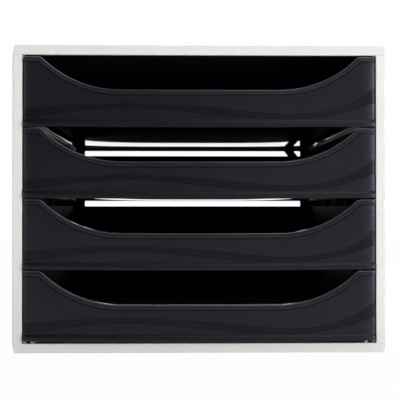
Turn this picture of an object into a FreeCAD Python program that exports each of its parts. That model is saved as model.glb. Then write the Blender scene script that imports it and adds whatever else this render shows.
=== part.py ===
import FreeCAD, Part
import math
import os

from FreeCAD import Vector

# Desktop stack of document drawers: a light casing of four panels round a dark open back frame,
# with four dark drawers that slide out to the front.
# Lengths are millimetres. The fronts face -Y, +Z is up, and the origin is the middle of the
# footprint on the surface that the feet stand on.

# Whole object
overall_width = 284.0
overall_depth = 348.0
casing_height = 234.0
drawer_count = 4
overrun = 1.0
fit_gap = 0.3

# Casing panels
casing_wall = 2.4
panel_skin = 2.6
panel_draft = 1.2
top_band = 7.6
bottom_band = 7.2
side_band = 7.5
corner_radius = 1.0
panel_edge_radius = 0.8
panel_rib_height = 3.0
panel_rib_count = 3
side_rib_wall = 1.8
side_rib_count = 4
tongue_wall = 2.0
tongue_height = 3.6
tongue_length = 62.0
tongue_count = 3

# Runner ledges, and the nibs that stop the drawers
ledge_reach = 8.0
ledge_thickness = 2.3
ledge_rise = 3.5
ledge_chamfer = 2.0
rail_wall = 2.0
nib_reach = 2.8
nib_length = 4.0
nib_drop = 1.0

# Open back frame
lattice_wall = 2.4
lattice_post = 17.5
lattice_rail = 9.0
lattice_bar = 5.1
lattice_bar_rise = 0.7
lattice_bar_rib = 2.4
window_radius = 1.0
brace_inset = 17.5
brace_width = 10.3
brace_drop = 22.4

# Feet
foot_diameter = 16.0
foot_thickness = 2.0
foot_proud = 1.0
foot_edge_radius = 0.6
foot_inset = 24.0

# Drawer fronts
front_gap = 1.2
top_gap = 1.6
bottom_gap = 2.2
front_side_gap = 1.0
front_wall = 2.4
front_return = 3.2
front_return_wall = 2.0
front_proud = 2.0
end_curve_radius = 70.0
end_curve_length = 11.0
end_edge_radius = 2.4
lip_height = 6.0
lip_band = 2.6
lip_proud = 1.2
lip_edge_radius = 0.5
scoop_depth = 24.9
scoop_shoulder = 13.2
scoop_floor_width = 120.0
scoop_corner_radius = 5.5
rim_width = 2.0
rim_proud = 0.5
bead_width = 3.4
bead_proud = 0.9
bead_edge_radius = 0.4
groove_width = 0.8
groove_depth = 0.5
wave_depth = 0.3

# Shares of the front's half width and height: place along the front, lower edge, upper edge
wave_shares = (
    (-1.00, 0.126, 0.250),
    (-0.91, 0.142, 0.267),
    (-0.81, 0.188, 0.291),
    (-0.62, 0.248, 0.323),
    (-0.42, 0.272, 0.335),
    (-0.21, 0.252, 0.323),
    (0.06, 0.180, 0.280),
    (0.33, 0.126, 0.208),
    (0.53, 0.123, 0.179),
    (0.70, 0.150, 0.218),
    (0.81, 0.200, 0.289),
    (0.91, 0.276, 0.404),
    (1.00, 0.352, 0.560),
)

# Drawer trays
tray_wall = 2.0
tray_floor = 2.2
tray_side_gap = 5.0
tray_rear_gap = 3.4
tray_rim_drop = 4.0
tray_draft = 0.9
tray_corner_radius = 6.0
tray_floor_radius = 3.0
guide_wall = 2.2
guide_drop = 0.6
stop_length = 6.0
stop_drop = 1.5
drawer_travel = 255.0

# Places that follow from the sizes above
half_width = overall_width / 2
front_reach = front_proud + max(lip_proud, bead_proud)
casing_front = front_reach - overall_depth / 2
casing_rear = overall_depth / 2
casing_middle = (casing_front + casing_rear) / 2
casing_bottom = foot_proud
casing_top = casing_bottom + casing_height
lower_seam = casing_bottom + bottom_band
upper_seam = casing_top - top_band
rim_wall = panel_draft + casing_wall
cavity_half_width = half_width - rim_wall
opening_half_width = half_width - side_band

drawer_pitch = (upper_seam - lower_seam - top_gap - bottom_gap + front_gap) / drawer_count
front_height = drawer_pitch - front_gap
front_half_width = opening_half_width - front_side_gap

lattice_rear = casing_rear - rim_wall
lattice_front = lattice_rear - lattice_wall
lattice_half_width = cavity_half_width - fit_gap
window_half_width = opening_half_width - lattice_post

plate_back = casing_front - front_proud + front_wall
ledge_front = plate_back + front_return + fit_gap
ledge_rear = lattice_front - lattice_bar_rib - fit_gap
ledge_inner = opening_half_width - ledge_reach

# Places within a drawer, whose own origin is on its front's back face and lower edge
proudest = max(lip_proud, bead_proud)
front_fore = -front_wall - proudest
bend_start = front_half_width - end_curve_length
bend_centre = end_curve_radius - front_wall
tray_rear = lattice_front - lattice_bar_rib - tray_rear_gap
tray_half_width = opening_half_width - tray_side_gap
tray_bottom = ledge_rise + fit_gap
tray_top = front_height - tray_rim_drop
guide_outer = ledge_inner - fit_gap
floor_top = tray_bottom + tray_floor
guide_bottom = ledge_rise - guide_drop
stop_bottom = guide_bottom - stop_drop
stop_front = ledge_front + nib_length + fit_gap + drawer_travel


def front_bottom(drawer):
    """Height of the lower edge of a drawer's front, counted from the top drawer."""
    return lower_seam + bottom_gap + (drawer_count - drawer) * drawer_pitch


def block(x0, x1, y0, y1, z0, z1):
    """A box between two values along each axis."""
    return Part.makeBox(x1 - x0, y1 - y0, z1 - z0, Vector(x0, y0, z0))


def in_front_plane(y):
    """Places an outline's points in an upright plane that faces the front."""
    return lambda u, v: Vector(u, y, v)


def in_side_plane(x):
    """Places an outline's points in an upright plane that faces the side."""
    return lambda u, v: Vector(x, u, v)


def in_level_plane(z):
    """Places an outline's points in a level plane."""
    return lambda u, v: Vector(u, v, z)


def polygon(points, place):
    """A closed wire of straight edges."""
    corners = [place(u, v) for u, v in points]
    return Part.makePolygon(corners + corners[:1])


def arc(centre, radius, start, end, place):
    """An arc round a centre between two angles in radians."""
    angles = (start, (start + end) / 2, end)
    points = [(centre[0] + radius * math.cos(a), centre[1] + radius * math.sin(a)) for a in angles]
    return Part.Arc(*[place(u, v) for u, v in points]).toShape()


def line(start, end, place):
    """A straight edge between two points of an outline."""
    return Part.LineSegment(place(*start), place(*end)).toShape()


def closed_wire(edges):
    """One wire from edges in any order."""
    return Part.Wire(Part.__sortEdges__(edges))


def rounded_rectangle(u0, u1, v0, v1, radius, place):
    """A closed wire of four straight edges and four quarter arcs."""
    quarter = math.pi / 2
    centres = ((u1 - radius, v1 - radius), (u0 + radius, v1 - radius),
               (u0 + radius, v0 + radius), (u1 - radius, v0 + radius))
    corners = [arc(c, radius, i * quarter, (i + 1) * quarter, place) for i, c in enumerate(centres)]
    sides = [
        Part.LineSegment(a.Vertexes[-1].Point, b.Vertexes[0].Point).toShape()
        for a, b in zip(corners, corners[1:] + corners[:1])
    ]
    return closed_wire(corners + sides)


def extruded(wire, direction):
    """The solid swept by a flat closed wire."""
    return Part.Face(wire).extrude(direction)


def joined(shapes):
    """One solid from shapes that touch or overlap."""
    return shapes[0].multiFuse(shapes[1:]).removeSplitter()


def mirrored_in_x(shape):
    """The same shape on the other side of the middle plane."""
    return shape.mirror(Vector(0, 0, 0), Vector(1, 0, 0))


def casing_panel(band):
    """A shallow lid, outer face down at z = 0, with a drafted rim and ribs inside."""
    half_depth = casing_rear - casing_middle
    inset = panel_draft
    face = rounded_rectangle(inset - half_width, half_width - inset,
                             casing_front + inset, casing_rear - inset, corner_radius, in_level_plane(0))
    seam = rounded_rectangle(-half_width, half_width,
                             casing_middle - half_depth, casing_rear, corner_radius, in_level_plane(band))
    shell = Part.makeLoft([face, seam], True, True)
    rim = [e for e in shell.Edges if e.BoundBox.ZMax < panel_edge_radius]
    shell = shell.makeFillet(panel_edge_radius, rim)
    cavity = block(-cavity_half_width, cavity_half_width,
                   casing_front + rim_wall, lattice_rear, panel_skin, band + overrun)
    shell = shell.cut(cavity)
    return joined([shell] + panel_ribs())


def panel_ribs():
    """Cross ribs on the inner side of a casing panel's rear half."""
    pitch = (lattice_front - casing_middle) / (panel_rib_count + 1)
    half_length = ledge_inner - nib_reach
    ribs = []
    for i in range(panel_rib_count):
        y = casing_middle + (i + 1) * pitch
        ribs.append(block(-half_length, half_length, y, y + side_rib_wall,
                          panel_skin, panel_skin + panel_rib_height))
    return ribs


def top_panel():
    """The casing's lid, open side down."""
    panel = casing_panel(top_band).mirror(Vector(0, 0, 0), Vector(0, 0, 1))
    return panel.translated(Vector(0, 0, casing_top))


def bottom_panel():
    """The casing's base with the bottom drawer's rails and the seats of the feet."""
    panel = casing_panel(bottom_band).translated(Vector(0, 0, casing_bottom))
    rail = bottom_rail()
    panel = joined([panel, rail, mirrored_in_x(rail)])
    for x, y in foot_places():
        seat_radius = foot_diameter / 2
        panel = panel.cut(Part.makeCylinder(seat_radius, foot_thickness, Vector(x, y, 0)))
    return panel


def bottom_rail():
    """The bottom drawer's right rail: a ledge on two legs that stand on the base."""
    low = casing_bottom + panel_skin
    high = front_bottom(drawer_count) + ledge_rise
    outer = opening_half_width - fit_gap
    rail = block(ledge_inner, outer, ledge_front, ledge_rear, low, high)
    channel = block(ledge_inner + rail_wall, outer - rail_wall,
                    ledge_front - overrun, ledge_rear + overrun, low, high - ledge_thickness)
    return joined([rail.cut(channel), stop_nib(high)])


def stop_nib(top):
    """The nib at a ledge's front end that a drawer's stop meets at full travel."""
    return block(ledge_inner - nib_reach, ledge_inner, ledge_front, ledge_front + nib_length,
                 top - ledge_thickness, top - nib_drop)


def ledge(top):
    """A runner ledge on the right side panel, with a slanted lead-in at its front inner corner."""
    outer = half_width - casing_wall
    points = (
        (outer, ledge_front),
        (ledge_inner + ledge_chamfer, ledge_front),
        (ledge_inner, ledge_front + ledge_chamfer),
        (ledge_inner, ledge_rear),
        (outer, ledge_rear),
    )
    plan = polygon(points, in_level_plane(top - ledge_thickness))
    return extruded(plan, Vector(0, 0, ledge_thickness))


def side_ribs():
    """Upright ribs that stiffen the right side panel between its flanges."""
    pitch = (ledge_rear - ledge_front) / (side_rib_count + 1)
    ribs = []
    for i in range(side_rib_count):
        y = ledge_front + (i + 1) * pitch
        ribs.append(block(opening_half_width, half_width - casing_wall, y, y + side_rib_wall,
                          lower_seam + casing_wall, upper_seam - casing_wall))
    return ribs


def side_tongues():
    """Tongues on the right side panel that locate it inside the rims of the panels above and below."""
    outer = cavity_half_width - fit_gap
    pitch = (ledge_rear - ledge_front - tongue_length) / (tongue_count - 1)
    tongues = []
    for i in range(tongue_count):
        y = ledge_front + i * pitch
        for z in (lower_seam - tongue_height, upper_seam):
            tongues.append(block(outer - tongue_wall, outer, y, y + tongue_length, z, z + tongue_height))
    return tongues


def side_panel():
    """The right side panel: a pan open to the inside, with ledges, ribs and locating tongues."""
    plan = rounded_rectangle(opening_half_width - side_band, half_width, casing_front, casing_rear,
                             corner_radius, in_level_plane(lower_seam))
    panel = extruded(plan, Vector(0, 0, upper_seam - lower_seam))
    panel = panel.cut(block(0, opening_half_width, casing_front, casing_rear, lower_seam, upper_seam))
    panel = panel.cut(block(opening_half_width, half_width - casing_wall,
                            casing_front + casing_wall, lattice_rear,
                            lower_seam + casing_wall, upper_seam - casing_wall))
    panel = panel.cut(block(opening_half_width, lattice_half_width + fit_gap,
                            lattice_front - fit_gap, lattice_rear, lower_seam, upper_seam))
    parts = [panel] + side_ribs() + side_tongues()
    for drawer in range(1, drawer_count):
        top = front_bottom(drawer) + ledge_rise
        parts += [ledge(top), stop_nib(top)]
    return joined(parts)


def back_lattice():
    """The dark open back: two posts, a bar behind each ledge level, and a braced corner."""
    low = casing_bottom + panel_skin
    high = casing_top - panel_skin
    place = in_front_plane(lattice_front)
    outer = polygon(((-lattice_half_width, low), (lattice_half_width, low),
                     (lattice_half_width, high), (-lattice_half_width, high)), place)
    frame = extruded(outer, Vector(0, lattice_wall, 0))
    bars = [front_bottom(d) + lattice_bar_rise for d in range(drawer_count, 0, -1)]
    floors = [z + lattice_bar for z in bars]
    ceilings = bars[1:] + [high - lattice_rail]
    for floor, ceiling in zip(floors, ceilings):
        window = rounded_rectangle(-window_half_width, window_half_width, floor, ceiling,
                                   window_radius, in_front_plane(lattice_front - overrun))
        frame = frame.cut(extruded(window, Vector(0, lattice_wall + 2 * overrun, 0)))
    ribs = [bar_rib(z) for z in bars]
    return joined([frame, corner_brace(bars[-1])] + ribs)


def bar_rib(bar_bottom):
    """The stiffening rib along the upper half of a bar, on its inner face."""
    return block(-window_half_width, window_half_width, lattice_front - lattice_bar_rib, lattice_front,
                 bar_bottom + lattice_bar / 2, bar_bottom + lattice_bar)


def corner_brace(height):
    """A slanting arm from the lower edge of the top bar down to the right post."""
    reach = 1 - brace_width / brace_inset
    points = (
        (window_half_width - brace_inset, height),
        (window_half_width, height - brace_drop),
        (window_half_width, height - brace_drop * reach),
        (window_half_width - brace_inset + brace_width, height),
    )
    return extruded(polygon(points, in_front_plane(lattice_front)), Vector(0, lattice_wall, 0))


def foot_places():
    """Centres of the four feet, front pair first, left before right."""
    x = half_width - foot_inset
    places = []
    for y in (casing_front + foot_inset, casing_rear - foot_inset):
        places += [(-x, y), (x, y)]
    return places


def foot(x, y):
    """A round rubber pad, half sunk in its seat."""
    pad = Part.makeCylinder(foot_diameter / 2, foot_thickness, Vector(x, y, 0))
    lower_edge = [e for e in pad.Edges if e.BoundBox.ZMax < foot_edge_radius]
    return pad.makeFillet(foot_edge_radius, lower_edge)


def scoop_edges(inset, place):
    """The front's top edge from its right end to its left, moved down and inwards by an inset."""
    floor_half = scoop_floor_width / 2
    run = front_half_width - scoop_shoulder - floor_half
    radius = (run ** 2 + scoop_depth ** 2) / (2 * scoop_depth)
    centre = (floor_half, front_height - scoop_depth + radius)
    reach = radius + scoop_corner_radius
    corner_x = floor_half + math.sqrt(reach ** 2 - (reach - scoop_depth) ** 2)
    corner = (corner_x, front_height - scoop_corner_radius)
    turn = math.atan2(centre[1] - corner[1], corner[0] - centre[0])
    top = front_height - inset
    low = front_height - scoop_depth - inset
    right = [
        line((front_half_width, top), (corner_x, top), place),
        arc(corner, scoop_corner_radius - inset, math.pi / 2, math.pi - turn, place),
        arc(centre, radius + inset, -turn, -math.pi / 2, place),
    ]
    return right + [line((floor_half, low), (-floor_half, low), place)] + [mirrored_in_x(e) for e in right]


def end_edges(upper, lower, place):
    """The two upright edges that close an outline at the front's ends."""
    return [line((x, upper), (x, lower), place) for x in (-front_half_width, front_half_width)]


def scoop_band(upper_inset, lower_inset, y, depth):
    """A band that follows the front's top edge between two insets."""
    place = in_front_plane(y)
    edges = scoop_edges(upper_inset, place) + scoop_edges(lower_inset, place)
    edges += end_edges(front_height - upper_inset, front_height - lower_inset, place)
    return extruded(closed_wire(edges), Vector(0, depth, 0))


def front_body(bottom, end_inset, top_inset, y, depth):
    """The scooped front between two planes, with its edges moved inwards."""
    place = in_front_plane(y)
    edges = scoop_edges(top_inset, place) + end_edges(front_height - top_inset, bottom, place)
    edges.append(line((-front_half_width, bottom), (front_half_width, bottom), place))
    body = extruded(closed_wire(edges), Vector(0, depth, 0))
    half = front_half_width - end_inset
    return body.common(block(-half, half, y, y + depth, bottom, front_height))


def front_plan(offset, back):
    """A prism over the front's plan, bent back at both ends, with its face moved outwards by an offset."""
    place = in_level_plane(0)
    radius = end_curve_radius + offset
    turn = math.asin(end_curve_length / radius)
    face = bend_centre - radius
    right = [
        arc((bend_start, bend_centre), radius, -math.pi / 2, turn - math.pi / 2, place),
        line((front_half_width, bend_centre - radius * math.cos(turn)), (front_half_width, back), place),
    ]
    across = [line((-bend_start, face), (bend_start, face), place),
              line((-front_half_width, back), (front_half_width, back), place)]
    outline = closed_wire(across + right + [mirrored_in_x(e) for e in right])
    return extruded(outline, Vector(0, 0, front_height))


def rim_step(upper_inset, lower_inset, proud):
    """A band along the front's top edge that stands proud of the face, with rounded front edges."""
    band = scoop_band(upper_inset, lower_inset, -front_wall - proud, proud)
    rounded = [e for e in band.Edges if e.BoundBox.YMax < -front_wall - proud / 2
               and e.BoundBox.XLength > bead_edge_radius]
    return band.makeFillet(bead_edge_radius, rounded)


def lip():
    """The flared lower lip: a short upright band that two equal arcs join to the face above."""
    place = in_side_plane(-front_half_width)
    rise = (lip_height - lip_band) / 2
    radius = (rise ** 2 + (lip_proud / 2) ** 2) / lip_proud
    turn = math.asin(rise / radius)
    outer = -front_wall - lip_proud
    edges = [
        arc((-front_wall - radius, lip_height), radius, 0, -turn, place),
        arc((outer + radius, lip_band), radius, math.pi - turn, math.pi, place),
        line((outer, lip_band), (outer, lip_edge_radius), place),
        arc((outer + lip_edge_radius, lip_edge_radius), lip_edge_radius, math.pi, math.pi * 3 / 2, place),
        line((outer + lip_edge_radius, 0), (-front_wall, 0), place),
        line((-front_wall, 0), (-front_wall, lip_height), place),
    ]
    return extruded(closed_wire(edges), Vector(2 * front_half_width, 0, 0))


def wave_ribbon():
    """The shallow ribbon that waves across the front between two smooth curves."""
    curves = []
    for column in (1, 2):
        points = [
            Vector(s[0] * (front_half_width + overrun), front_fore, s[column] * front_height) for s in wave_shares
        ]
        curve = Part.BSplineCurve()
        curve.interpolate(points)
        curves.append(curve.toShape())
    lower, upper = curves
    ends = [
        Part.LineSegment(lower.Vertexes[i].Point, upper.Vertexes[i].Point).toShape()
        for i in (0, -1)
    ]
    ribbon = extruded(closed_wire([lower, upper] + ends), Vector(0, -front_fore, 0))
    return ribbon.cut(front_plan(-wave_depth, front_return))


def flat_front():
    """The moulded front before its ends are bent back: a scooped pan with a stepped rim and a lip."""
    shell = front_body(0, 0, 0, -front_wall, front_wall + front_return)
    pocket = front_body(tray_bottom, 0, front_return_wall, 0, front_return + overrun)
    groove = scoop_band(bead_width, bead_width + groove_width, -front_wall - overrun, overrun + groove_depth)
    rim = rim_step(0, rim_width, rim_proud)
    bead = rim_step(rim_width, bead_width, bead_proud)
    return joined([shell.cut(pocket).cut(groove), lip(), rim, bead])


def drawer_front():
    """The moulded front: its straight middle, and its section carried round a bend to each end."""
    flat = flat_front()
    middle = flat.common(block(-bend_start, bend_start, front_fore, front_return, 0, front_height))
    section = Part.Face(flat.slice(Vector(1, 0, 0), bend_start)[0])
    turn = math.asin(end_curve_length / (bend_centre - front_return))
    bend = section.revolve(Vector(bend_start, bend_centre, 0), Vector(0, 0, 1), math.degrees(turn))
    inner = front_half_width - front_return_wall
    wall = front_plan(0, front_return).common(
        block(inner, front_half_width, front_fore, front_return, 0, front_height))
    front = joined([middle, bend, wall, mirrored_in_x(bend), mirrored_in_x(wall)])
    trim = front_plan(proudest, front_return)
    ends = [e for e in trim.Edges if e.BoundBox.YMax < 0 and e.BoundBox.ZLength > front_height / 2
            and abs(e.CenterOfMass.x) > inner]
    return front.cut(wave_ribbon()).common(trim.makeFillet(end_edge_radius, ends))


def tray_prism(inset, bottom, top):
    """The tray's drafted cross-section run from front to back, with its sides moved inwards."""
    low = tray_half_width - tray_draft - inset
    high = tray_half_width - inset
    slope = (high - low) / (tray_top - tray_bottom)
    low_x = low + (bottom - tray_bottom) * slope
    high_x = low + (top - tray_bottom) * slope
    section = polygon(((-low_x, bottom), (low_x, bottom), (high_x, top), (-high_x, top)), in_front_plane(0))
    return extruded(section, Vector(0, tray_rear - plate_back - inset, 0))


def tray_plan(inset):
    """The tray's plan with rounded rear corners, raised into a tall prism."""
    radius = tray_corner_radius - inset
    half = tray_half_width - inset
    plan = rounded_rectangle(-half, half, -tray_corner_radius, tray_rear - plate_back - inset,
                             radius, in_level_plane(0))
    return extruded(plan, Vector(0, 0, front_height))


def drawer_tray():
    """The open tray with drafted walls and a filleted floor, on the guides that keep it straight."""
    outer = tray_prism(0, tray_bottom, tray_top).common(tray_plan(0))
    inner = tray_prism(tray_wall, floor_top, tray_top + overrun).common(tray_plan(tray_wall))
    floor_edges = [e for e in inner.Edges if e.BoundBox.ZMax < floor_top + overrun
                   and e.BoundBox.YMax > tray_floor_radius]
    inner = inner.makeFillet(tray_floor_radius, floor_edges)
    guides = drawer_guide()
    return joined([outer.cut(inner), guides, mirrored_in_x(guides)])


def drawer_guide():
    """The right guide rib beside the ledge, and the stop that meets the ledge's nib."""
    inner = guide_outer - guide_wall
    rear = tray_rear - plate_back - tray_corner_radius
    rib = block(inner, guide_outer, 0, rear, guide_bottom, tray_bottom)
    stop_y = stop_front - plate_back
    stop = block(inner, guide_outer, stop_y, stop_y + stop_length, stop_bottom, tray_bottom)
    return rib.fuse(stop)


def drawer(number):
    """One drawer at its own level, closed."""
    whole = joined([drawer_front(), drawer_tray()])
    return whole.translated(Vector(0, plate_back, front_bottom(number)))


def build():
    """Every sub-part by the name of its node."""
    right = side_panel()
    nodes = {
        "top_panel": top_panel(),
        "bottom_panel": bottom_panel(),
        "left_side_panel": mirrored_in_x(right),
        "right_side_panel": right,
        "back_lattice": back_lattice(),
    }
    corners = ("front_left", "front_right", "rear_left", "rear_right")
    for corner, (x, y) in zip(corners, foot_places()):
        nodes["foot_" + corner] = foot(x, y)
    for number in range(1, drawer_count + 1):
        nodes["drawer_" + str(number)] = drawer(number)
    return nodes


os.makedirs("parts", exist_ok=True)
for node, shape in build().items():
    shape.exportStep("parts/" + node + ".step")
    print(node, shape.ShapeType, "solids", len(shape.Solids), "valid", shape.isValid(),
          "volume", round(shape.Volume))
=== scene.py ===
import math

import bmesh
import bpy
import numpy as np
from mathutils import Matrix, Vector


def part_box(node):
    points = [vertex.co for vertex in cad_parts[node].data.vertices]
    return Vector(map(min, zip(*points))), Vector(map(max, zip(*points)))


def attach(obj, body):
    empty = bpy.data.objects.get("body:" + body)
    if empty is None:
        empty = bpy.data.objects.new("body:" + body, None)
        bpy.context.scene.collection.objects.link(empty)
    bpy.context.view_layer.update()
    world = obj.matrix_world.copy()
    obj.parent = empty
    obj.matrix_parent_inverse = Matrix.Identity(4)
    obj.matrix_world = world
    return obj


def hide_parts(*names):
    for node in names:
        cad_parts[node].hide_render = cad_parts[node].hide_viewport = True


# Desktop stack of document drawers: a light casing, four dark scooped drawers and an open back.
# Lengths are metres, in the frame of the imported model: the fronts face -Y and +Z is up.

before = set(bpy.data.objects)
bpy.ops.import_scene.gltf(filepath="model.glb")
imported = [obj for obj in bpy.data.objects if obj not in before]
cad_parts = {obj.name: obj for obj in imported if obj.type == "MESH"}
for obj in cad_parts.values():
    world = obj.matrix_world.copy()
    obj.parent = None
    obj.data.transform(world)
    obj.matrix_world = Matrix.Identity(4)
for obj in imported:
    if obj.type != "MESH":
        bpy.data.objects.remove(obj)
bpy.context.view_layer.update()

# Casing, from the frame's boxes
lid_low, lid_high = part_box("top_panel")
base_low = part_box("bottom_panel")[0]
casing_front = lid_low.y
casing_rear = lid_high.y
half_width = lid_high.x
casing_bottom = base_low.z
casing_top = lid_high.z
upper_seam = lid_low.z

# Casing sizes
casing_wall = 0.0024
panel_skin = 0.0026
panel_draft = 0.0012
bottom_band = 0.0072
side_band = 0.0075
outer_corner = 0.0010
panel_edge = 0.0008
seam_edge = 0.0004
inner_fillet = 0.0008
panel_rib_height = 0.0030
panel_rib_count = 3
side_rib_wall = 0.0018
side_rib_count = 4
ledge_reach = 0.0080
ledge_thickness = 0.0023
ledge_rise = 0.0035
ledge_edge = 0.0005
rail_wall = 0.0020
nib_reach = 0.0028
nib_length = 0.0040
nib_drop = 0.0010
tongue_wall = 0.0020
tongue_height = 0.0036
tongue_length = 0.0620
tongue_count = 3
fit_gap = 0.0003
lattice_wall = 0.0024
lattice_bar_rib = 0.0024

# Drawer sizes
drawer_count = 4
front_gap = 0.0012
top_gap = 0.0016
bottom_gap = 0.0022
front_side_gap = 0.0010
front_wall = 0.0024
front_return = 0.0032
front_return_wall = 0.0020
front_proud = 0.0020
front_edge = 0.0005
face_rows = 7
face_share = 0.9
end_curve_radius = 0.0700
end_curve_length = 0.0110
end_edge = 0.0009
end_steps = 6
lip_height = 0.0060
lip_band = 0.0026
lip_proud = 0.0012
scoop_depth = 0.0249
scoop_shoulder = 0.0132
scoop_floor_width = 0.1200
scoop_corner_radius = 0.0055
rim_width = 0.0020
rim_proud = 0.0005
bead_width = 0.0034
bead_proud = 0.0009
bead_edge = 0.0004
bead_slope = 0.0002
groove_width = 0.0009
groove_depth = 0.0009
wave_depth = 0.0003
wing_roll = 0.0006
wing_roll_reach = 0.0060
pocket_overrun = 0.02
tray_wall = 0.0020
tray_floor = 0.0022
tray_side_gap = 0.0050
tray_rear_gap = 0.0034
tray_rim_drop = 0.0040
tray_rim_edge = 0.00045
tray_draft = 0.0009
tray_corner_radius = 0.0060
tray_floor_radius = 0.0030
sag_depths = (0.00105, 0.0032, 0.0012, 0.0012)
sag_half_width = 0.1180
sag_rear_length = 0.0450
sag_front_length = 0.1150
floor_steps = 36
front_sags = (0.0004, 0.0007, 0.0009, 0.0010)
guide_wall = 0.0022
guide_drop = 0.0006
stop_length = 0.0060
stop_drop = 0.0015
drawer_travel = 0.2550
foot_edge = 0.0006
foot_steps = 48

# The wave's places along the front, lower edges and upper edges, as shares of its half width and height
wave_shares = np.array((
    (-1.00, 0.126, 0.250),
    (-0.91, 0.142, 0.267),
    (-0.81, 0.188, 0.291),
    (-0.62, 0.248, 0.323),
    (-0.42, 0.272, 0.335),
    (-0.21, 0.252, 0.323),
    (0.06, 0.180, 0.280),
    (0.33, 0.126, 0.208),
    (0.53, 0.123, 0.179),
    (0.70, 0.150, 0.218),
    (0.81, 0.200, 0.289),
    (0.91, 0.276, 0.404),
    (1.00, 0.352, 0.560),
))

# Places that follow from the sizes
lower_seam = casing_bottom + bottom_band
rim_wall = panel_draft + casing_wall
side_skin = half_width - casing_wall
cavity_half = half_width - rim_wall
opening_half = half_width - side_band
drawer_pitch = (upper_seam - lower_seam - top_gap - bottom_gap + front_gap) / drawer_count
front_height = drawer_pitch - front_gap
front_half = opening_half - front_side_gap
lattice_rear = casing_rear - rim_wall
lattice_front = lattice_rear - lattice_wall
plate_back = casing_front - front_proud + front_wall
ledge_front = plate_back + front_return + fit_gap
ledge_rear = lattice_front - lattice_bar_rib - fit_gap
ledge_inner = opening_half - ledge_reach
tray_rear = lattice_front - lattice_bar_rib - tray_rear_gap
tray_half = opening_half - tray_side_gap
tray_bottom = ledge_rise + fit_gap
tray_top = front_height - tray_rim_drop
guide_outer = ledge_inner - fit_gap
guide_bottom = ledge_rise - guide_drop
merge_distance = 1e-6
sharp_angle = math.radians(40)
flat_angle = math.radians(1)


def front_bottom(drawer):
    """Height of the lower edge of a drawer's front, counted from the top drawer."""
    return lower_seam + bottom_gap + (drawer_count - drawer) * drawer_pitch


class Surface:
    """Collects grids of points, rows by columns by 3, and makes them one closed mesh."""

    def __init__(self):
        self.points = []
        self.faces = []
        self.kinds = []
        self.count = 0

    def add(self, grid, around=False, kinds=0):
        """Adds a grid's points and the quads between them; around joins the last column to the first.
        kinds is the material index of each row of quads."""
        rows, columns = grid.shape[:2]
        index = np.arange(rows * columns).reshape(rows, columns) + self.count
        if around:
            index = np.hstack([index, index[:, :1]])
        quads = np.stack([index[:-1, :-1], index[:-1, 1:], index[1:, 1:], index[1:, :-1]], axis=-1)
        self.kinds.append(np.broadcast_to(np.reshape(kinds, (-1, 1)), quads.shape[:2]).ravel())
        self.points.append(grid.reshape(-1, 3))
        self.faces.append(quads.reshape(-1, 4))
        self.count += rows * columns
        return self

    def finish(self, name, body, nodes, materials):
        """Makes the object: merged points, outward faces, smooth but for edges past the sharp angle."""
        mesh = bpy.data.meshes.new(name)
        mesh.from_pydata(np.vstack(self.points).tolist(), [], np.vstack(self.faces).tolist())
        mesh.polygons.foreach_set("material_index", np.concatenate(self.kinds).astype(np.int32))
        for material in materials:
            mesh.materials.append(material)
        work = bmesh.new()
        work.from_mesh(mesh)
        bmesh.ops.remove_doubles(work, verts=work.verts, dist=merge_distance)
        bmesh.ops.dissolve_degenerate(work, edges=work.edges, dist=merge_distance)
        bmesh.ops.recalc_face_normals(work, faces=work.faces)
        work.to_mesh(mesh)
        work.free()
        mesh.polygons.foreach_set("use_smooth", np.ones(len(mesh.polygons), bool))
        mesh.set_sharp_from_angle(angle=sharp_angle)
        piece = bpy.data.objects.new(name, mesh)
        bpy.context.scene.collection.objects.link(piece)
        weighted = piece.modifiers.new("weighted", "WEIGHTED_NORMAL")
        weighted.keep_sharp = True
        weighted.weight = 100
        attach(piece, body)
        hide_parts(*nodes)
        return piece


def stacked(*columns):
    """Puts coordinate arrays side by side as the last axis of a grid."""
    return np.stack(np.broadcast_arrays(*columns), axis=-1)


def turned(centre, radius, start, end, steps):
    """Points of an arc: the centre plus the radius times cosine and sine of evenly spaced angles."""
    angle = np.radians(np.linspace(start, end, steps + 1))
    return np.stack([centre[0] + radius * np.cos(angle), centre[1] + radius * np.sin(angle)], axis=-1)


def rounded_path(corners, radii, steps=4):
    """An open path through corners; each inner corner becomes an arc tangent to both its legs.
    The arc starts at the radius over the tangent of half the corner's angle before the corner."""
    points = [np.array(corners[0])]
    for before, corner, after, radius in zip(corners, corners[1:], corners[2:], radii):
        before, corner, after = map(np.array, (before, corner, after))
        way_in = (before - corner) / np.linalg.norm(before - corner)
        way_out = (after - corner) / np.linalg.norm(after - corner)
        half = math.acos(float(np.clip(way_in @ way_out, -1, 1))) / 2
        middle = (way_in + way_out) / np.linalg.norm(way_in + way_out)
        centre = corner + middle * radius / math.sin(half)
        start = corner + way_in * radius / math.tan(half)
        end = corner + way_out * radius / math.tan(half)
        share = np.linspace(0, 1, steps + 1)[:, None]
        chord = (1 - share) * (start - centre) + share * (end - centre)
        points.extend(centre + radius * chord / np.linalg.norm(chord, axis=1, keepdims=True))
    points.append(np.array(corners[-1]))
    return np.array(points)


def rounded_ring(u0, u1, v0, v1, radius, steps=4):
    """A rectangle's outline with quarter arcs of one radius at its corners, as closed points."""
    corners = ((u1 - radius, v1 - radius, 0), (u0 + radius, v1 - radius, 90),
               (u0 + radius, v0 + radius, 180), (u1 - radius, v0 + radius, 270))
    return np.vstack([turned((u, v), radius, a, a + 90, steps) for u, v, a in corners])


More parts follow.
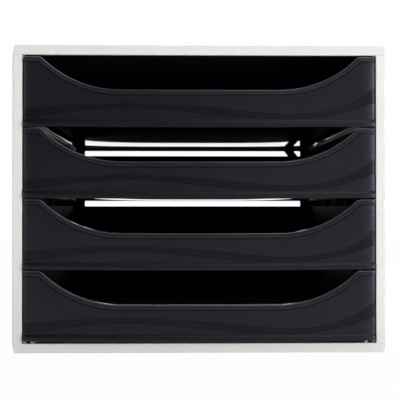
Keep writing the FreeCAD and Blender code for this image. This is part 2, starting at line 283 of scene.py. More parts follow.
def rounded_box(low, high, radius, steps=3):
    """A box with rounded edges: each point is the corner of the inner box that its direction's signs
    pick, plus the radius times the direction. Directions run over latitude and longitude."""
    low, high = np.array(low), np.array(high)
    latitude = np.radians(np.concatenate([np.linspace(-90, 0, steps + 1), np.linspace(0, 90, steps + 1)]))
    upper = np.repeat([0, 1], steps + 1)[:, None]
    longitude = np.radians(np.concatenate([np.linspace(q, q + 90, steps + 1) for q in (0, 90, 180, 270)]))
    east = np.repeat([1, 0, 0, 1], steps + 1)[None, :]
    north = np.repeat([1, 1, 0, 0], steps + 1)[None, :]
    inner_low, inner_high = low + radius, high - radius
    level = np.cos(latitude)[:, None]
    x = np.where(east, inner_high[0], inner_low[0]) + radius * level * np.cos(longitude)
    y = np.where(north, inner_high[1], inner_low[1]) + radius * level * np.sin(longitude)
    z = np.where(upper, inner_high[2], inner_low[2]) + radius * np.sin(latitude)[:, None]
    shell = stacked(x, y, z)
    middle = (low + high) / 2
    cap_low = np.broadcast_to([middle[0], middle[1], low[2]], shell[:1].shape)
    cap_high = np.broadcast_to([middle[0], middle[1], high[2]], shell[:1].shape)
    return np.concatenate([cap_low, shell, cap_high])


def mirrored(grid):
    """The same grid on the other side of the middle plane."""
    return grid * np.array([-1, 1, 1])


# The casing's panels


def lid_shell(outer, seam, inward):
    """A shallow lid: rings round the plan, one for each point of a profile of inset and height.
    The profile runs from the middle of the outer face over its edge, down the drafted rim to the
    seam, and inside back to the middle. outer and seam are heights, inward is +1 or -1."""
    skin = outer + inward * panel_skin
    profile = rounded_path(
        ((half_width, outer), (panel_draft, outer), (0, seam), (rim_wall, seam), (rim_wall, skin),
         (half_width, skin)),
        (panel_edge, seam_edge, seam_edge, inner_fillet),
    )
    rings = []
    for inset, height in profile:
        half = half_width - inset
        radius = max(outer_corner - inset, merge_distance)
        ring = rounded_ring(-half, half, casing_front + inset, casing_rear - inset, radius)
        rings.append(stacked(ring[:, 0], ring[:, 1], height))
    return np.array(rings)


def panel_ribs(surface, low, high, kind):
    """Cross ribs of one material on a panel's inner side, evenly spaced over its rear half."""
    middle = (casing_front + casing_rear) / 2
    pitch = (lattice_front - middle) / (panel_rib_count + 1)
    reach = ledge_inner - nib_reach
    for i in range(panel_rib_count):
        y = middle + (i + 1) * pitch
        rib = rounded_box((-reach, y, low), (reach, y + side_rib_wall, high), seam_edge)
        surface.add(rib, around=True, kinds=kind)


def make_lid(materials):
    """The casing's lid, open side down. Its first material is outside, its second inside the rim, where
    the inset is past the rim's wall and the height below the skin's middle, and on the ribs; the
    second is painted shade on the grey plastic."""
    skin = casing_top - panel_skin
    shell = lid_shell(casing_top, upper_seam, -1)
    inset = half_width - shell[:, :, 0].max(axis=1)
    inside = (inset > rim_wall - merge_distance) & (shell[:, 0, 2] < (casing_top + skin) / 2)
    surface = Surface().add(shell, around=True, kinds=inside[1:].astype(int))
    panel_ribs(surface, skin - panel_rib_height, skin + seam_edge, 1)
    return surface.finish("lid", "casing", ["top_panel"], materials)


def make_base(material):
    """The casing's base with the lowest drawer's rails: a ledge with a nib and two legs on each side."""
    surface = Surface().add(lid_shell(casing_bottom, lower_seam, 1), around=True)
    skin = casing_bottom + panel_skin
    panel_ribs(surface, skin - seam_edge, skin + panel_rib_height, 0)
    top = front_bottom(drawer_count) + ledge_rise
    outer = opening_half - fit_gap
    legs = ((ledge_inner, ledge_inner + rail_wall), (outer - rail_wall, outer))
    grids = [ledge_bar(ledge_inner, outer, top), nib_bar(top)]
    leg_low, leg_high = skin - seam_edge, top - ledge_thickness + seam_edge
    for x0, x1 in legs:
        grids.append(rounded_box((x0, ledge_front, leg_low), (x1, ledge_rear, leg_high), seam_edge))
    for grid in grids:
        surface.add(grid, around=True)
        surface.add(mirrored(grid), around=True)
    return surface.finish("base", "casing", ["bottom_panel"], [material])


def ledge_bar(x0, x1, top):
    """A runner ledge: a long bar with rounded edges."""
    return rounded_box((x0, ledge_front, top - ledge_thickness), (x1, ledge_rear, top), ledge_edge)


def nib_bar(top):
    """The nib at a ledge's front end that stops the drawer."""
    low = (ledge_inner - nib_reach, ledge_front, top - ledge_thickness)
    high = (ledge_inner + ledge_edge, ledge_front + nib_length, top - nib_drop)
    return rounded_box(low, high, seam_edge)


def side_shell():
    """The right side panel's pan: rings round its outline, one for each point of a profile of inset
    and place across. The profile runs from the middle of the outer face over its edge, across the
    return, round the return's inner edge and back along the inner face to the middle. Also gives
    each row's material, 1 past the return's edge, where it is painted shade on the grey plastic.
    The rear return is thicker than the others by the extra, which grows over the wall from the
    outside in."""
    reach = (upper_seam - lower_seam) / 2
    profile = rounded_path(
        ((reach, half_width), (0, half_width), (0, opening_half), (casing_wall, opening_half),
         (casing_wall, side_skin), (reach, side_skin)),
        (outer_corner, ledge_edge, ledge_edge, inner_fillet),
    )
    insets, places = profile.T
    grown = (places < half_width - ledge_edge) & (insets < reach)
    extras = np.where(grown, np.clip(insets / casing_wall, 0, 1), 0) * (rim_wall - casing_wall)
    rings = []
    for inset, x, extra in zip(insets, places, extras):
        radius = max(seam_edge - inset, merge_distance)
        ring = rounded_ring(casing_front + inset, casing_rear - inset - extra,
                            lower_seam + inset, upper_seam - inset, radius)
        rings.append(stacked(x, ring[:, 0], ring[:, 1]))
    # Rows on the inner skin take material 1, painted shade on the grey plastic.
    inside = (insets > casing_wall - merge_distance) & (places < side_skin + merge_distance)
    return np.array(rings), inside[1:].astype(int)


def side_grids():
    """Every grid of the right side panel, pan, ribs, ledges, nibs and locating tongues, each with its
    rows' material: 1 for the inner skin and the ribs, painted shade on the grey plastic, 0 for the rest."""
    grids = [side_shell()]
    root = side_skin + seam_edge
    rib_low, rib_high = lower_seam + casing_wall - seam_edge, upper_seam - casing_wall + seam_edge
    pitch = (ledge_rear - ledge_front) / (side_rib_count + 1)
    for i in range(side_rib_count):
        y = ledge_front + (i + 1) * pitch
        rib = rounded_box((opening_half, y, rib_low), (root, y + side_rib_wall, rib_high), seam_edge)
        grids.append((rib, 1))
    for drawer in range(1, drawer_count):
        top = front_bottom(drawer) + ledge_rise
        grids += [(ledge_bar(ledge_inner, root, top), 0), (nib_bar(top), 0)]
    outer = cavity_half - fit_gap
    inner = outer - tongue_wall
    pitch = (ledge_rear - ledge_front - tongue_length) / (tongue_count - 1)
    for i in range(tongue_count):
        y = ledge_front + i * pitch
        for z in (lower_seam - tongue_height, upper_seam):
            tongue = rounded_box((inner, y, z), (outer, y + tongue_length, z + tongue_height), seam_edge)
            grids.append((tongue, 0))
    return grids


def make_side(name, node, materials, flip):
    """One side panel; the left one is the right one mirrored."""
    surface = Surface()
    for grid, kinds in side_grids():
        surface.add(mirrored(grid) if flip else grid, around=True, kinds=kinds)
    return surface.finish(name, "casing", [node], materials)


# The drawers' fronts


def scoop_line(inset, flat_steps=6, corner_steps=10, scoop_steps=44, middle_steps=15):
    """The front's top edge from its left end to its right, moved inwards by an inset: a flat
    shoulder, a tangent corner arc, a large arc, the scoop's flat floor, and the same mirrored.
    The large arc's radius is half the sum of its run squared over the depth and the depth."""
    floor_half = scoop_floor_width / 2
    run = front_half - scoop_shoulder - floor_half
    radius = (run ** 2 / scoop_depth + scoop_depth) / 2
    centre = (floor_half, front_height - scoop_depth + radius)
    reach = radius + scoop_corner_radius
    corner_x = floor_half + math.sqrt(reach ** 2 - (reach - scoop_depth) ** 2)
    corner = (corner_x, front_height - scoop_corner_radius)
    turn = math.degrees(math.atan2(centre[1] - corner[1], corner[0] - centre[0]))
    floor = turned(centre, radius + inset, -90, -turn, scoop_steps)
    shoulder = turned(corner, scoop_corner_radius - inset, 180 - turn, 90, corner_steps)
    top = front_height - inset
    bottom = top - scoop_depth
    flat = np.linspace((corner_x, top), (front_half, top), flat_steps + 1)
    middle = np.linspace((0, bottom), (floor_half, bottom), middle_steps + 1)
    right = np.vstack([middle[:-1], floor[:-1], shoulder[:-1], flat])
    left = right[:0:-1] * np.array([-1, 1])
    return np.vstack([left, right])


def smooth_curve(places, values, x):
    """A smooth curve through points: on each span a cubic whose end slopes are the finite
    differences of the neighbouring points."""
    slopes = np.gradient(values, places)
    span = np.clip(np.searchsorted(places, x, side="right") - 1, 0, len(places) - 2)
    width = places[span + 1] - places[span]
    t = (x - places[span]) / width
    start, end = values[span], values[span + 1]
    return ((1 + 2 * t) * (1 - t) ** 2 * start + t * (1 - t) ** 2 * width * slopes[span]
            + t ** 2 * (3 - 2 * t) * end + t ** 2 * (t - 1) * width * slopes[span + 1])


def end_shift(x):
    """How far the front curves back towards its ends: a circle's rise past the straight middle."""
    past = np.clip(np.abs(x) - (front_half - end_curve_length), 0, None)
    return end_curve_radius - np.sqrt(end_curve_radius ** 2 - past ** 2)


def wing_shift(x, z):
    """How far the wings beside the scoop roll back: the roll times the exponential of less the distance
    from the scoop's edge over the roll's reach, growing from the scoop's floor to half its depth."""
    edge = scoop_line(0)
    distance = np.sqrt(((x[..., None] - edge[:, 0]) ** 2 + (z[..., None] - edge[:, 1]) ** 2).min(axis=-1))
    past = z - (front_height - scoop_depth)
    rise = np.clip(past / (scoop_depth / 2), 0, 1)
    return wing_roll * rise * np.exp(-distance / wing_roll_reach)


def rim_profile():
    """The stepped rim's section as points of inset and depth: from the rim's rear edge over its top,
    down the rim, out over the bead, and through the groove to the face."""
    face = -front_wall
    rim, bead, floor = face - rim_proud, face - bead_proud, face + groove_depth
    groove_end = bead_width + groove_width
    return rounded_path(
        ((front_edge, front_return), (0, front_return), (0, rim), (rim_width - bead_slope, rim),
         (rim_width + bead_slope, bead), (bead_width, bead), (bead_width, floor), (groove_end, floor),
         (groove_end, face), (groove_end + groove_width, face)),
        (front_edge, bead_edge, bead_slope, bead_slope, bead_edge, bead_slope, bead_slope, bead_slope),
    )


def lip_profile(steps=4):
    """The lip's section as points of depth and height: two equal arcs out from the face, an upright
    band, a rounded lower edge, and the underside with its rear edge. Each arc's radius is the sum of
    the squares of its rise and run over twice its run."""
    rise = (lip_height - lip_band) / 2
    radius = (rise ** 2 + (lip_proud / 2) ** 2) / lip_proud
    turn = math.degrees(math.asin(rise / radius))
    outer = -front_wall - lip_proud
    return np.vstack([
        turned((-front_wall - radius, lip_height), radius, 0, -turn, steps),
        turned((outer + radius, lip_band), radius, 180 - turn, 180, steps)[1:],
        turned((outer + front_edge, front_edge), front_edge, 180, 270, steps),
        turned((front_return - front_edge, front_edge), front_edge, 270, 360, steps - 1),
    ])


def front_rows():
    """The outer skin of a front, from the rim down to the lip: arrays x, y and z for each row, and the
    kind of each row of quads, 0 for the plain skin, 1 for the wave, 2 for the rim, coloured paler as
    painted sheen, and 3 for its front edge, coloured pale as a painted highlight. The rim's rows are
    the scoop's line moved in; below them only the height goes on falling."""
    face = -front_wall
    rim = rim_profile()
    edges = np.array([scoop_line(inset) for inset in rim[:, 0]])
    columns = edges.shape[1]
    rows_x, rows_z = list(edges[:, :, 0]), list(edges[:, :, 1])
    rows_y = [np.full(columns, y) for y in rim[:, 1]]
    edge_end = face - rim_proud + front_edge
    # Rows on the rim get painted sheen (2), rows on its front edge a painted highlight (3).
    on_painted_highlight = (rim[1:, 0] < front_edge + merge_distance) & (rim[1:, 1] < edge_end - merge_distance)
    on_painted_sheen_rim = rim[1:, 0] < bead_width + merge_distance
    kinds = list(np.where(on_painted_highlight, 3, np.where(on_painted_sheen_rim, 2, 0)))
    x, start = rows_x[-1], rows_z[-1]
    places = wave_shares[:, 0] * front_half
    low = smooth_curve(places, wave_shares[:, 1] * front_height, x)
    high = smooth_curve(places, wave_shares[:, 2] * front_height, x)
    step, sunk = wave_depth, face + wave_depth
    above = [(start * (1 - share) + high * share, face, 0)
             for share in np.linspace(0, face_share, face_rows + 1)[1:]]
    wave = [
        (high + 2 * step, face, 0), (high + step, face, 0),
        (high, sunk, 1), (high - step, sunk, 1), ((high + low) / 2, sunk, 1), (low + step, sunk, 1),
        (low, sunk, 1), (low - step, face, 0), (low - 2 * step, face, 0),
    ]
    lip = [(np.full(columns, z), y, 0) for y, z in lip_profile()]
    for height, y, kind in above + wave + lip:
        rows_x.append(x)
        rows_y.append(np.full(columns, y))
        rows_z.append(height)
        kinds.append(kind)
    return np.array(rows_x), np.array(rows_y), np.array(rows_z), np.array(kinds)


def rounded_ends(x, y, z):
    """The grid of a front's rows with a quarter arc and a rear point added at each end. Along an arc
    the place grows by the end edge times the angle's sine, and the depth by the end edge times one
    less its cosine, no deeper than the return's rear edge."""
    angle = np.radians(np.linspace(0, 90, end_steps + 1))[1:]
    past, back = end_edge * np.sin(angle), end_edge * (1 - np.cos(angle))
    straight = front_half - end_edge
    ones = np.ones((len(x), 1))
    left, right = -(straight + past[::-1]) * ones, (straight + past) * ones
    left_y = np.minimum(y[:, :1] + back[::-1], front_return)
    right_y = np.minimum(y[:, -1:] + back, front_return)
    rear_y = front_return * ones
    x = np.hstack([left[:, :1], left, np.clip(x, -straight, straight), right, right[:, -1:]])
    y = np.hstack([rear_y, left_y, y, right_y, rear_y])
    z = np.pad(z, ((0, 0), (end_steps + 1, end_steps + 1)), mode="edge")
    return stacked(x, y, z)


def make_front(drawer, materials):
    """A drawer's front: its outer skin, an inner skin, and strips between their first and last rows
    and columns. The skin in front of the return's rear edge shifts back at its ends and wings. Its
    materials are the plain skin's, the wave's, the rim's with painted sheen and the rim's front edge's
    with a painted highlight."""
    x, y, z, kinds = front_rows()
    y = y + (end_shift(x) + wing_shift(x, z)) * (y < front_return - front_edge)
    outer = rounded_ends(x, y, z)
    inner = front_inside(outer)
    sag = front_sags[drawer - 1]
    outer, inner = placed(hung(outer, sag), drawer), placed(hung(inner, sag), drawer)
    surface = Surface().add(outer, kinds=kinds).add(inner)
    for edge in (0, -1):
        surface.add(np.stack([outer[edge], inner[edge]]))
        surface.add(np.stack([outer[:, edge], inner[:, edge]]))
    node = "drawer_" + str(drawer)
    return surface.finish(node + "_front", node, [node], materials)


def hung(grid, depth):
    """Lowers a front by the depth times one less the square of the share of its half width."""
    fall = depth * (1 - (grid[..., 0] / front_half) ** 2)
    return grid - stacked(0, 0, np.clip(fall, 0, None))


def placed(grid, drawer):
    """Moves a grid from the drawer's own frame to its place in the casing."""
    return grid + np.array([0, plate_back, front_bottom(drawer)])


def front_inside(outer):
    """The inner side of a front, with as many rows and columns as the outer skin: the first and last
    rows and columns lie on the return's rear edge, the next ones at the pocket's floor. Heights run
    evenly from the scoop's line to the tray's bottom, held at both ends over a small overrun."""
    rows, columns = outer.shape[:2]
    wall = front_return_wall
    edge = scoop_line(wall)
    pad = (columns - len(edge)) // 2
    top_x = np.pad(edge[:, 0], pad, mode="edge")
    top_z = np.pad(edge[:, 1], pad, mode="edge")
    limit = front_half - wall
    x = np.clip(np.broadcast_to(top_x, (rows, columns)), -limit, limit)
    share = np.clip(np.linspace(-pocket_overrun, 1 + pocket_overrun, rows), 0, 1)[:, None]
    z = (1 - share) * top_z + share * tray_bottom
    y = np.zeros((rows, columns))
    y[[0, -1]] = front_return
    y[:, [0, -1]] = front_return
    return stacked(x, y, z)


# The drawers' trays


def tray_path(inset, side_steps=72, corner_steps=8, rear_steps=40):
    """The tray's plan from its left front end round the rear to its right front end, moved inwards:
    two straight sides and a straight rear, joined by quarter arcs."""
    radius = max(tray_corner_radius - inset, merge_distance)
    half = tray_half - inset
    rear = tray_rear - plate_back - inset
    side = np.linspace((-half, 0), (-half, rear - radius), side_steps, endpoint=False)
    left = turned((-half + radius, rear - radius), radius, 180, 90, corner_steps)
    back = np.linspace((-half + radius, rear), (half - radius, rear), rear_steps)[1:-1]
    turn = np.array([-1, 1])
    return np.vstack([side, left, back, left[::-1] * turn, side[::-1] * turn])


def floor_sag(x, y, depth):
    """How far a floor hangs: the depth times one less the fourth power of the distance from the
    middle across, times the square of one less the squared distance along, each as a share of the
    hanging field's reach, which is longer to the front than to the rear."""
    past = y - (tray_rear - plate_back - sag_rear_length)
    along = past / np.where(past > 0, sag_rear_length, sag_front_length)
    return depth * np.clip(1 - (x / sag_half_width) ** 4, 0, 1) * np.clip(1 - along ** 2, 0, 1) ** 2


def tray_wall_grid(sag):
    """The tray's walls and floor: the plan path carried through a section of inset and height. The
    section runs from the middle of the floor's underside out to the wall, up its drafted outer
    side, over the rim, down the inner side, round the fillet and in over the floor to the middle.
    What isn't above the floor hangs by the sag."""
    slope = tray_draft / (tray_top - tray_bottom)
    floor_top = tray_bottom + tray_floor
    floor_inset = tray_wall + tray_draft - tray_floor * slope
    section = rounded_path(
        ((tray_wall + tray_floor_radius, tray_bottom), (tray_draft, tray_bottom), (0, tray_top),
         (tray_wall, tray_top), (floor_inset, floor_top), (2 * tray_floor_radius + tray_wall, floor_top)),
        (front_edge, tray_rim_edge, tray_rim_edge, tray_floor_radius), steps=5,
    )
    middle = tray_half - merge_distance
    under = np.linspace((middle, tray_bottom), section[0], floor_steps, endpoint=False)
    over = np.linspace(section[-1], (middle, floor_top), floor_steps + 1)[1:]
    rows = []
    for inset, height in np.vstack([under, section, over]):
        path = tray_path(inset)
        hang = floor_sag(path[:, 0], path[:, 1], sag) if height <= floor_top else 0
        rows.append(stacked(path[:, 0], path[:, 1], height - hang))
    return np.array(rows)


def guide_grids():
    """The right guide beside the ledge, and the stop behind it."""
    rear = tray_rear - plate_back - tray_corner_radius
    inner = guide_outer - guide_wall
    stop_y = ledge_front + nib_length + fit_gap + drawer_travel - plate_back
    stop_bottom = guide_bottom - stop_drop
    high = tray_bottom + front_edge
    return [
        rounded_box((inner, 0, guide_bottom), (guide_outer, rear, high), front_edge),
        rounded_box((inner, stop_y, stop_bottom), (guide_outer, stop_y + stop_length, high), front_edge),
    ]


def make_tray(drawer, materials):
    """A drawer's tray with its guides and stops. Its first material is the underside's, its second
    the walls' and the inside's."""
    wall = placed(tray_wall_grid(sag_depths[drawer - 1]), drawer)
    kinds = (np.arange(len(wall) - 1) >= floor_steps).astype(int)
    surface = Surface().add(wall, kinds=kinds)
    half = (len(wall) + 1) // 2
    for column in (0, -1):
        end = wall[:, column]
        surface.add(np.stack([end[:half], end[::-1][:half]]), kinds=1)
    for grid in guide_grids():
        surface.add(placed(grid, drawer), around=True)
        surface.add(placed(mirrored(grid), drawer), around=True)
    node = "drawer_" + str(drawer)
    return surface.finish(node + "_tray", node, [node], materials)


def make_lattice(material):
    """The open back: the solid's own mesh, merged, with small rounded edges."""
    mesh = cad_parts["back_lattice"].data.copy()
    work = bmesh.new()
    work.from_mesh(mesh)
    bmesh.ops.remove_doubles(work, verts=work.verts, dist=merge_distance)
    bmesh.ops.dissolve_limit(work, angle_limit=flat_angle, verts=work.verts, edges=work.edges)
    work.to_mesh(mesh)
    work.free()
    mesh.materials.clear()
    mesh.materials.append(material)
    piece = bpy.data.objects.new("back_frame", mesh)
    bpy.context.scene.collection.objects.link(piece)
    bevel = piece.modifiers.new("edges", "BEVEL")
    bevel.width = seam_edge
    bevel.segments = 2
    bevel.limit_method = "ANGLE"
    bevel.harden_normals = True
    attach(piece, "casing")
    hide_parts("back_lattice")
    return piece


def make_foot(node, material):
    """A round rubber pad: a profile of radius and height turned about the pad's axis."""
    low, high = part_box(node)
    x, y, radius = (low.x + high.x) / 2, (low.y + high.y) / 2, (high.x - low.x) / 2
    corners = ((0, low.z), (radius, low.z), (radius, high.z), (0, high.z))
    profile = rounded_path(corners, (foot_edge, foot_edge))
    reach, height = profile[:, :1], profile[:, 1:]
    angle = np.linspace(0, 2 * math.pi, foot_steps + 1)[:-1]
    grid = stacked(x + reach * np.cos(angle), y + reach * np.sin(angle), height)
    return Surface().add(grid, around=True).finish(node + "_pad", "casing", [node], [material])


# Materials

noise_middle = (0.3, 0.7)
grain_height = 0.0002
grey_deep, grey_pale = (0.770, 0.772, 0.762), (0.800, 0.800, 0.792)
drawer_deep, drawer_pale = np.array((0.0054, 0.0060, 0.0082)), np.array((0.0072, 0.0079, 0.0106))
drawer_tint = (0.78, 0.86, 1.0, 1.0)
# Near-black colours painted on the grey casing's inner side as painted shade.
painted_shade_deep, painted_shade_pale = (0.012, 0.012, 0.013), (0.018, 0.018, 0.019)
lattice_deep, lattice_pale = (0.0085, 0.0095, 0.0135), (0.0110, 0.0120, 0.0160)
rubber_deep, rubber_pale = (0.020, 0.020, 0.020), (0.032, 0.032, 0.032)


class Value:
    """A shader socket that can be used in Python sums; each operator adds one Math node."""

    def __init__(self, shader, socket):
        self.shader = shader
        self.socket = socket

    def maths(self, operation, first, second):
        """Adds a Math node of one operation on two values."""
        return self.shader.node("ShaderNodeMath", {"operation": operation}, {0: first, 1: second})

    def __add__(self, other): return self.maths("ADD", self, other)
    def __radd__(self, other): return self.maths("ADD", other, self)
    def __sub__(self, other): return self.maths("SUBTRACT", self, other)
    def __rsub__(self, other): return self.maths("SUBTRACT", other, self)
    def __mul__(self, other): return self.maths("MULTIPLY", self, other)
    def __rmul__(self, other): return self.maths("MULTIPLY", other, self)


class Shader:
    """A procedural material: a Principled surface and the nodes that feed it."""

    def __init__(self, name):
        self.material = bpy.data.materials.new(name)
        self.material.use_nodes = True
        self.tree = self.material.node_tree
        self.surface = self.tree.nodes["Principled BSDF"]
        self.place = self.node("ShaderNodeTexCoord", {}, {}, output="Object")

    def fill(self, socket, value):
        """Links a value to a socket, or sets a plain one there."""
        if isinstance(value, Value):
            self.tree.links.new(value.socket, socket)
        else:
            socket.default_value = value

    def node(self, kind, settings, sockets, output=0):
        """Adds a node of a kind, sets it, then fills its sockets by name or place."""
        made = self.tree.nodes.new(kind)
        for key, value in settings.items():
            setattr(made, key, value)
        for key, value in sockets.items():
            self.fill(made.inputs[key], value)
        return Value(self, made.outputs[output])

    def noise(self, scale, detail=3.0):
        """Fractal noise between 0 and 1, with features of one over the scale."""
        return self.node("ShaderNodeTexNoise", {}, {"Vector": self.place, "Scale": scale, "Detail": detail})

    def ramped(self, value, low, high, start=0.0, end=1.0):
        """Maps a value from one range to another and holds it at the ends."""
        return self.node("ShaderNodeMapRange", {"clamp": True}, {0: value, 1: low, 2: high, 3: start, 4: end})

    def between(self, noise, deep, pale):
        """A colour that goes from deep to pale over the middle of a noise."""
        factor = self.ramped(noise, *noise_middle)
        colours = {0: factor, 6: (*deep, 1.0), 7: (*pale, 1.0)}
        return self.node("ShaderNodeMix", {"data_type": "RGBA"}, colours, output=2)

    def feed(self, name, value):
        """Gives the surface's named socket a link or a value."""
        self.fill(self.surface.inputs[name], value)

    def bump(self, height, strength):
        """Feeds the surface's normal from a height of the grain."""
        sockets = {"Strength": strength, "Distance": grain_height, "Height": height}
        self.feed("Normal", self.node("ShaderNodeBump", {}, sockets))


def casing_plastic():
    """Light grey satin moulded plastic with a fine spark texture and faint flow clouds."""
    shader = Shader("casing_grey")
    clouds = shader.noise(9.0, 4.0)
    fine = shader.noise(900.0, 2.0)
    shader.feed("Base Color", shader.between(clouds, grey_deep, grey_pale))
    shader.feed("Roughness", shader.ramped(fine + 0.4 * clouds, 0.4, 1.0, 0.40, 0.54))
    shader.feed("Specular IOR Level", 0.45)
    shader.bump(fine, 0.18)
    return shader.material


def drawer_plastic(name, smooth, rough, grain, shine, coat=0.0, tone_and_painted_sheen=1.0):
    """Bluish black moulded plastic between two roughnesses, with a fine grain of a given strength, a
    level of shine, a share of clear skin and a factor that multiplies its colour: the plastic's own
    tone below one, painted sheen and painted highlight above one."""
    shader = Shader(name)
    clouds = shader.noise(14.0, 4.0)
    fine = shader.noise(1400.0, 2.0)
    patches = shader.noise(60.0, 2.0)
    shader.feed("Base Color", shader.between(clouds, tone_and_painted_sheen * drawer_deep, tone_and_painted_sheen * drawer_pale))
    shader.feed("Roughness", shader.ramped(fine + 0.5 * clouds + 0.4 * patches, 0.6, 1.3, smooth, rough))
    shader.feed("Specular IOR Level", shine)
    shader.feed("Specular Tint", drawer_tint)
    shader.feed("Coat Weight", coat)
    shader.bump(fine, grain)
    return shader.material


def casing_painted_shade():
    """Near-black painted shade on the inner side of the light grey lid and side panels, matt, with faint
    clouds.
    """
    shader = Shader("casing_painted_shade")
    clouds = shader.noise(12.0, 4.0)
    fine = shader.noise(900.0, 2.0)
    shader.feed("Base Color", shader.between(clouds, painted_shade_deep, painted_shade_pale))
    shader.feed("Roughness", shader.ramped(fine, *noise_middle, 0.62, 0.78))
    shader.feed("Specular IOR Level", 0.3)
    shader.bump(fine, 0.2)
    return shader.material


def lattice_plastic():
    """Black satin plastic of the open back."""
    shader = Shader("lattice_black")
    clouds = shader.noise(20.0, 3.0)
    fine = shader.noise(1200.0, 2.0)
    shader.feed("Base Color", shader.between(clouds, lattice_deep, lattice_pale))
    shader.feed("Roughness", shader.ramped(fine, *noise_middle, 0.34, 0.46))
    shader.bump(fine, 0.15)
    return shader.material


def foot_rubber():
    """Soft matt rubber."""
    shader = Shader("foot_rubber")
    fine = shader.noise(700.0, 3.0)
    shader.feed("Base Color", shader.between(fine, rubber_deep, rubber_pale))
    shader.feed("Roughness", shader.ramped(fine, *noise_middle, 0.7, 0.85))
    shader.bump(fine, 0.3)
    return shader.material


# The scene round the object

camera_distance = 0.788
camera_side = -0.0176
camera_height = 0.1093
camera_yaw = math.radians(-1.293)
camera_pitch = math.radians(0.566)
camera_lens = 93.36
camera_sensor = 36.0
camera_near = 0.01
floor_reach = 6.0
backdrop_place = 2.5
backdrop_height = 5.0
stage_grey = 0.90
stage_rough = 0.9
floor_seen = 0.97
floor_mirrored = 0.45
room_glow = 0.02
lamp_aim = np.array((0, 0, 0.12))

# Each lamp's name, turn from the front to the right, rise above level, distance, size and power
lamps = (
    ("key", 48, 7, 2.0, 0.7, 26),
    ("fill", -50, 10, 1.6, 0.8, 5.2),
    ("high", 22, 45, 1.4, 0.6, 2.8),
    ("glance", 12, 12, 1.8, 0.3, 0.6),
    ("over", 180, 72, 1.7, 1.2, 11),
    ("rear", 165, 58, 1.8, 0.9, 14),
)


def make_camera():
    """The photograph's view: low, close to the front's normal and a little to the left."""
    data = bpy.data.cameras.new("camera")
    data.lens = camera_lens
    data.sensor_width = camera_sensor
    data.clip_start = camera_near
    camera = bpy.data.objects.new("camera", data)
    camera.location = (camera_side, casing_front - camera_distance, camera_height)
    camera.rotation_euler = (math.pi / 2 + camera_pitch, 0, camera_yaw)
    bpy.context.scene.collection.objects.link(camera)
    bpy.context.scene.camera = camera


def area_light(name, place, target, size, power):
    """A white square soft box aimed at a point. It tips by the arc cosine of the fall of its way over
    the way's length, and turns by the way's direction in plan."""
    data = bpy.data.lights.new(name, "AREA")
    data.shape = "SQUARE"
    data.size = size
    data.energy = power
    light = bpy.data.objects.new(name, data)
    light.location = place
    way = target - place
    tip = math.acos(-way[2] / np.linalg.norm(way))
    light.rotation_euler = (tip, 0, math.atan2(way[1], way[0]) - math.pi / 2)
    bpy.context.scene.collection.objects.link(light)


def seen_white(shader, camera_share, glossy_share):
    """Makes a stage surface glow white for rays from the camera and for reflections, in two shares."""
    camera = shader.node("ShaderNodeLightPath", {}, {}, output="Is Camera Ray")
    glossy = shader.node("ShaderNodeLightPath", {}, {}, output="Is Glossy Ray")
    through = shader.node("ShaderNodeLightPath", {}, {}, output="Is Transmission Ray")
    glow = shader.node("ShaderNodeEmission", {}, {"Color": (1, 1, 1, 1), "Strength": 1.0})
    plain = Value(shader, shader.surface.outputs["BSDF"])
    mixed = shader.node("ShaderNodeMixShader", {},
                        {0: camera * camera_share + (glossy + through) * glossy_share, 1: plain, 2: glow})
    shader.fill(shader.tree.nodes["Material Output"].inputs["Surface"], mixed)


def stage_sheet(name, near, far, camera_share, glossy_share):
    """A flat sheet of the room round the object, between two edges at places of depth and height."""
    mesh = bpy.data.meshes.new(name)
    corners = [(-floor_reach, *near), (floor_reach, *near), (floor_reach, *far), (-floor_reach, *far)]
    mesh.from_pydata(corners, [], [(0, 1, 2, 3)])
    sheet = bpy.data.objects.new(name, mesh)
    bpy.context.scene.collection.objects.link(sheet)
    shader = Shader(name + "_white")
    shader.feed("Base Color", (stage_grey, stage_grey, stage_grey, 1.0))
    shader.feed("Roughness", stage_rough)
    shader.feed("Specular IOR Level", 0.0)
    seen_white(shader, camera_share, glossy_share)
    mesh.materials.append(shader.material)


def make_room():
    """A floor in two sheets that meet behind the casing, and a backdrop. The camera sees them as white,
    and so do reflections, weaker over the front sheet. The floor keeps the object's shadow."""
    stage_sheet("floor", (-floor_reach, 0), (casing_rear, 0), floor_seen, floor_mirrored)
    stage_sheet("rear_floor", (casing_rear, 0), (backdrop_place, 0), floor_seen, 1.0)
    stage_sheet("backdrop", (backdrop_place, 0), (backdrop_place, backdrop_height), 1.0, 1.0)


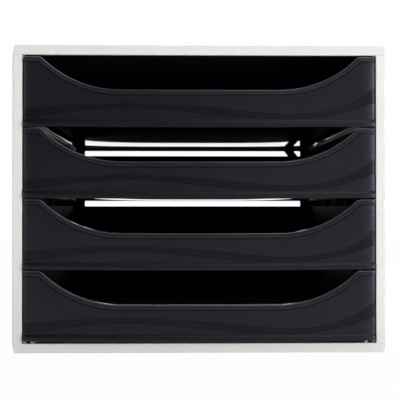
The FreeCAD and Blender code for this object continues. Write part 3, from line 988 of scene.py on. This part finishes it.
def make_world():
    """White to the camera, and a dim room to everything else."""
    world = bpy.data.worlds.new("room")
    bpy.context.scene.world = world
    world.use_nodes = True
    tree = world.node_tree
    plain = tree.nodes["Background"]
    plain.inputs["Color"].default_value = (1, 1, 1, 1)
    plain.inputs["Strength"].default_value = room_glow
    white = tree.nodes.new("ShaderNodeBackground")
    white.inputs["Color"].default_value = (1, 1, 1, 1)
    white.inputs["Strength"].default_value = 1.0
    path = tree.nodes.new("ShaderNodeLightPath")
    mix = tree.nodes.new("ShaderNodeMixShader")
    tree.links.new(path.outputs["Is Camera Ray"], mix.inputs["Fac"])
    tree.links.new(plain.outputs["Background"], mix.inputs[1])
    tree.links.new(white.outputs["Background"], mix.inputs[2])
    tree.links.new(mix.outputs["Shader"], tree.nodes["World Output"].inputs["Surface"])


def make_lights():
    """A low key from the right front, a weak fill from the left, a small high light, a faint low one that
    the fronts mirror, and lights over and behind the object. Each stands at its distance from the
    aim, in the direction that its turn and rise give."""
    for name, turn, rise, distance, size, power in lamps:
        turn, rise = math.radians(turn), math.radians(rise)
        way = np.array((math.cos(rise) * math.sin(turn), -math.cos(rise) * math.cos(turn), math.sin(rise)))
        area_light(name, lamp_aim + distance * way, lamp_aim, size, power)


def build():
    """Every piece, then the room, lights and camera."""
    grey = casing_plastic()
    face = drawer_plastic("drawer_black", smooth=0.25, rough=0.37, grain=0.75, shine=0.36, tone_and_painted_sheen=0.84)
    wave = drawer_plastic("drawer_wave", smooth=0.27, rough=0.37, grain=0.10, shine=0.22, tone_and_painted_sheen=0.84)
    # The rim's colour is raised 1.7 times as painted sheen on the same black plastic.
    rim = drawer_plastic("drawer_rim_painted_sheen", smooth=0.27, rough=0.37, grain=0.10, shine=0.42, tone_and_painted_sheen=1.7)
    # The rim's front edge is coloured pale as a painted highlight line.
    edge = drawer_plastic("drawer_edge_painted_highlight", smooth=0.12, rough=0.20, grain=0.02, shine=1.0, coat=1.0, tone_and_painted_sheen=16.0)
    sleek = drawer_plastic("drawer_underside", smooth=0.03, rough=0.06, grain=0.004, shine=0.5, coat=1.0)
    matt = drawer_plastic("drawer_inside", smooth=0.50, rough=0.60, grain=0.20, shine=0.05)
    # Painted shade for the inner side of the grey casing.
    dark = casing_painted_shade()
    black = lattice_plastic()
    rubber = foot_rubber()
    pieces = [
        (make_lid([grey, dark]), "casing_grey"),
        (make_base(grey), "casing_grey"),
        (make_side("right_side", "right_side_panel", [grey, dark], False), "casing_grey"),
        (make_side("left_side", "left_side_panel", [grey, dark], True), "casing_grey"),
        (make_lattice(black), "lattice_black"),
    ]
    for node in sorted(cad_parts):
        if node.startswith("foot_"):
            pieces.append((make_foot(node, rubber), "foot_rubber"))
    for drawer in range(1, drawer_count + 1):
        pieces.append((make_front(drawer, [face, wave, rim, edge]), "drawer_black"))
        pieces.append((make_tray(drawer, [sleek, matt]), "drawer_black"))
    make_room()
    make_world()
    make_lights()
    make_camera()
    bpy.context.scene.view_settings.view_transform = "Standard"


build()
